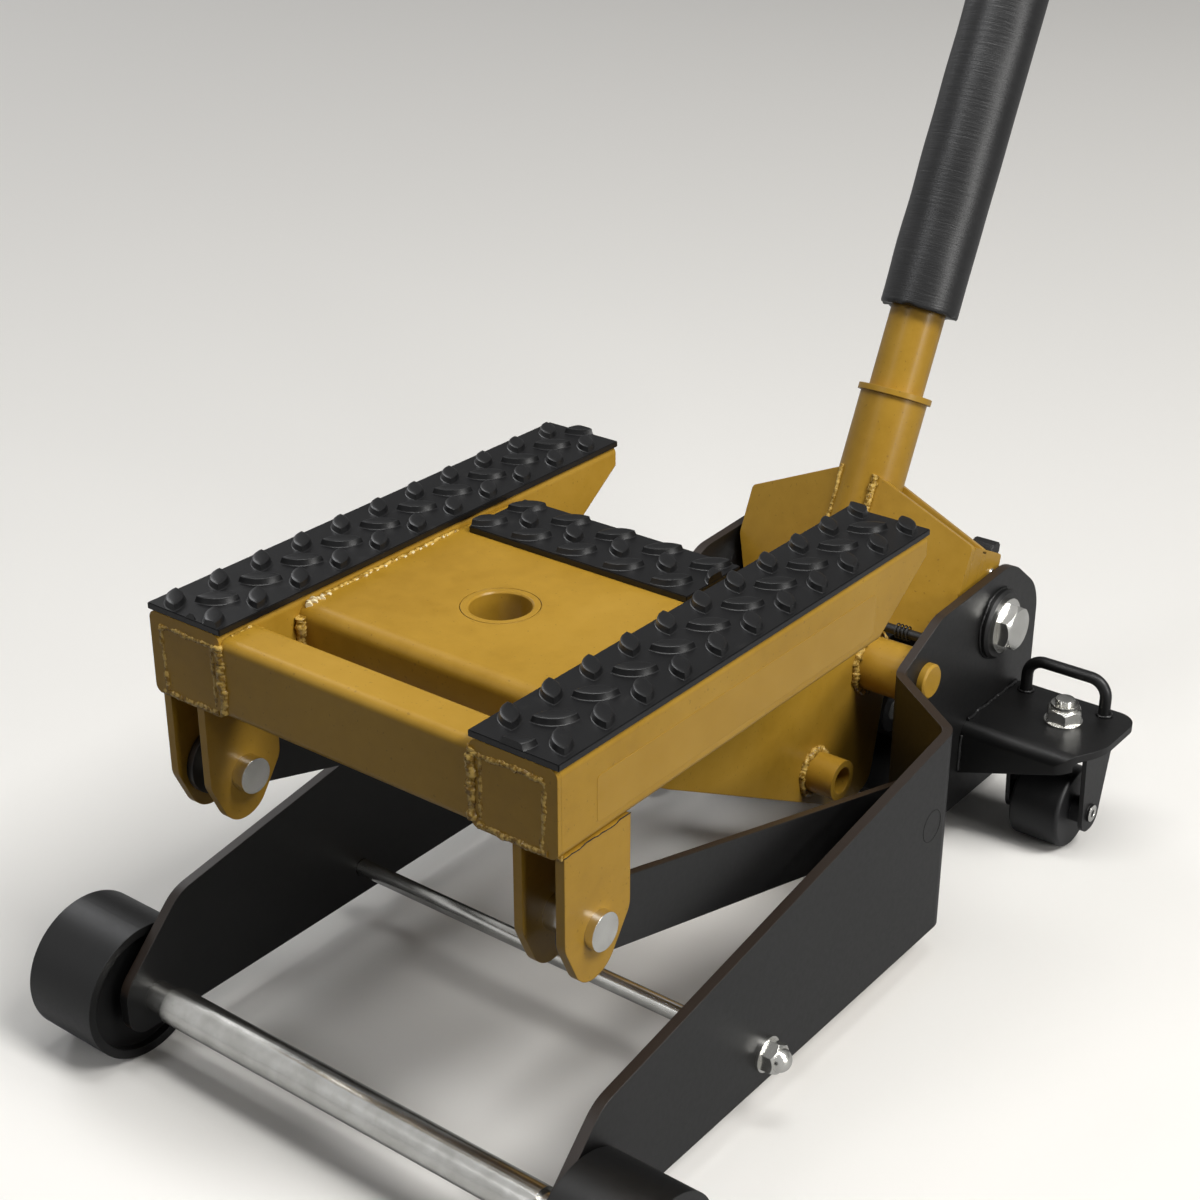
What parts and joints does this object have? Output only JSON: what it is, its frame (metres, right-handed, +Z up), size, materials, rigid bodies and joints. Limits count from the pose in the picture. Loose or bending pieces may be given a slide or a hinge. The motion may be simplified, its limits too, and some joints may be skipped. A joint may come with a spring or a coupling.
{
  "type": "car jack",
  "caption": "Low service jack with a wide padded platform on a parallel-arm lift, tilting hydraulic ram, pump handle, steel front rollers and rear swivel casters.",
  "frame": {"origin": "on the ground under the middle of the whole jack: on its centre plane, half way between the front of its rollers and the rear of its handle in the rest pose", "axes": "+Z up; -Y towards the front rollers, +Y towards the handle and casters; +X to the right of someone who stands at the rollers and looks along +Y"},
  "size_m": [0.47, 1.0655, 1.1452],
  "materials": {
    "gold_paint": "satin mustard-gold enamel",
    "black_paint": "satin black powder coat",
    "zinc_plate": "bright zinc plating",
    "chrome_rod": "polished hard chrome",
    "block_iron": "cast, painted dark grey",
    "pad_rubber": "moulded black rubber",
    "foam_rubber": "soft black foam skin",
    "grip_rubber": "ribbed black rubber",
    "wheel_plastic": "matt charcoal nylon"
  },
  "bodies": {
    "chassis": {"side_plate_right": "black_paint", "side_plate_left": "black_paint", "front_axle": "zinc_plate", "axle_spacer_tube": "zinc_plate", "axle_snap_rings": "zinc_plate", "tie_rod": "zinc_plate", "tie_rod_nuts": "zinc_plate", "link_pivot_pins": "black_paint", "arm_pivot_shaft": "gold_paint", "floor_plate": "black_paint", "pump_block": "block_iron", "filler_plug": "zinc_plate", "trunnion_pin": "zinc_plate", "caster_bracket_right": "black_paint", "caster_bracket_left": "black_paint", "carry_loops": "black_paint", "caster_studs": "zinc_plate", "caster_lock_nuts": "zinc_plate", "yoke_pivot_bolts": "zinc_plate", "pivot_collars": "black_paint", "pivot_washers": "zinc_plate"},
    "lift_arm": {"arm_side_plates": "gold_paint", "arm_pivot_hub": "gold_paint", "arm_bosses": "gold_paint", "ram_pin": "zinc_plate", "arm_web": "gold_paint", "arm_front_pin": "zinc_plate"},
    "link_right": {"parallel_link_right": "black_paint"},
    "link_left": {"parallel_link_left": "black_paint"},
    "cylinder": {"lift_cylinder": "black_paint"},
    "ram": {"lift_ram": "chrome_rod"},
    "plunger": {"pump_plunger": "chrome_rod"},
    "valve": {"release_valve": "zinc_plate"},
    "platform": {"platform_rail_right": "gold_paint", "platform_rail_left": "gold_paint", "rail_front_caps": "gold_paint", "platform_cross_tube": "gold_paint", "saddle_plate": "gold_paint", "adapter_collar": "gold_paint", "rail_lugs": "gold_paint", "lug_pins": "zinc_plate", "saddle_lugs": "gold_paint", "long_tread_pads": "pad_rubber", "cross_tread_pad": "pad_rubber"},
    "yoke": {"yoke_front_plate": "gold_paint", "yoke_rear_plate": "gold_paint", "yoke_side_plates": "gold_paint", "handle_socket": "gold_paint", "socket_set_screw": "black_paint", "pump_roller_shaft": "zinc_plate", "pump_roller": "zinc_plate"},
    "handle": {"handle_tube": "gold_paint", "foam_sleeve": "foam_rubber", "hand_grip": "grip_rubber"},
    "front_roller_right": {"front_roller_right": "black_paint"},
    "front_roller_left": {"front_roller_left": "black_paint"},
    "caster_fork_right": {"caster_fork_right": "black_paint"},
    "caster_fork_left": {"caster_fork_left": "black_paint"},
    "caster_wheel_right": {"caster_wheel_right": "wheel_plastic"},
    "caster_wheel_left": {"caster_wheel_left": "wheel_plastic"}
  },
  "joints": [
    {"name": "lift_arm_pivot", "type": "hinge", "parent": "chassis", "child": "lift_arm", "pos_m": [0, 0.00291, 0.16], "axis": [-1, 0, 0], "range_deg": [-22, 34]},
    {"name": "link_pivot_right", "type": "hinge", "parent": "chassis", "child": "link_right", "pos_m": [0.1445, -0.10109, 0.115], "axis": [-1, 0, 0], "range_deg": [-22.05, 34.05]},
    {"name": "link_pivot_left", "type": "hinge", "parent": "chassis", "child": "link_left", "pos_m": [-0.1445, -0.10109, 0.115], "axis": [-1, 0, 0], "range_deg": [-22.05, 34.05]},
    {"name": "platform_pivot", "type": "hinge", "parent": "lift_arm", "child": "platform", "pos_m": [0, -0.33474, 0.25364], "axis": [-1, 0, 0], "range_deg": [-34.05, 22.05]},
    {"name": "cylinder_trunnion", "type": "hinge", "parent": "chassis", "child": "cylinder", "pos_m": [0, 0.09391, 0.072], "axis": [-1, 0, 0], "range_deg": [-8.04, 12.39]},
    {"name": "ram_slide", "type": "slide", "parent": "cylinder", "child": "ram", "axis": [0, -0.9821, 0.1886], "range_m": [-0.02508, 0.03874]},
    {"name": "handle_pivot", "type": "hinge", "parent": "chassis", "child": "yoke", "pos_m": [0, 0.10891, 0.164], "axis": [-1, 0, 0], "range_deg": [-12, 45]},
    {"name": "handle_twist", "type": "hinge", "parent": "yoke", "child": "handle", "pos_m": [0, 0.08091, 0.233], "axis": [0, 0.4305, 0.9026], "range_deg": [0, 180]},
    {"name": "plunger_slide", "type": "slide", "parent": "chassis", "child": "plunger", "axis": [0, -1, 0], "range_m": [-0.00527, 0.01964]},
    {"name": "valve_turn", "type": "hinge", "parent": "chassis", "child": "valve", "pos_m": [-0.022, 0.16191, 0.062], "axis": [0, 1, 0], "range_deg": [0, 180.05]},
    {"name": "front_roller_spin_right", "type": "hinge", "parent": "chassis", "child": "front_roller_right", "pos_m": [0.206, -0.48609, 0.047], "axis": [1, 0, 0], "continuous": true},
    {"name": "front_roller_spin_left", "type": "hinge", "parent": "chassis", "child": "front_roller_left", "pos_m": [-0.206, -0.48609, 0.047], "axis": [1, 0, 0], "continuous": true},
    {"name": "caster_swivel_right", "type": "hinge", "parent": "chassis", "child": "caster_fork_right", "pos_m": [0.164, 0.11561, 0.091], "axis": [0, 0, 1], "continuous": true},
    {"name": "caster_swivel_left", "type": "hinge", "parent": "chassis", "child": "caster_fork_left", "pos_m": [-0.164, 0.11561, 0.091], "axis": [0, 0, 1], "continuous": true},
    {"name": "caster_spin_right", "type": "hinge", "parent": "caster_fork_right", "child": "caster_wheel_right", "pos_m": [0.164, 0.10961, 0.03175], "axis": [1, 0, 0], "continuous": true},
    {"name": "caster_spin_left", "type": "hinge", "parent": "caster_fork_left", "child": "caster_wheel_left", "pos_m": [-0.164, 0.10961, 0.03175], "axis": [1, 0, 0], "continuous": true}
  ],
  "couplings": [
    {"joint": "link_pivot_right", "follows": "lift_arm_pivot", "ratio": 1},
    {"joint": "link_pivot_left", "follows": "lift_arm_pivot", "ratio": 1},
    {"joint": "platform_pivot", "follows": "lift_arm_pivot", "ratio": -1},
    {"joint": "cylinder_trunnion", "follows": "lift_arm_pivot", "ratio": 0.363},
    {"joint": "ram_slide", "follows": "lift_arm_pivot", "m_per_rad": 0.0652},
    {"joint": "plunger_slide", "follows": "handle_pivot", "m_per_rad": 0.02494},
    {"joint": "valve_turn", "follows": "handle_twist", "ratio": 1}
  ]
}
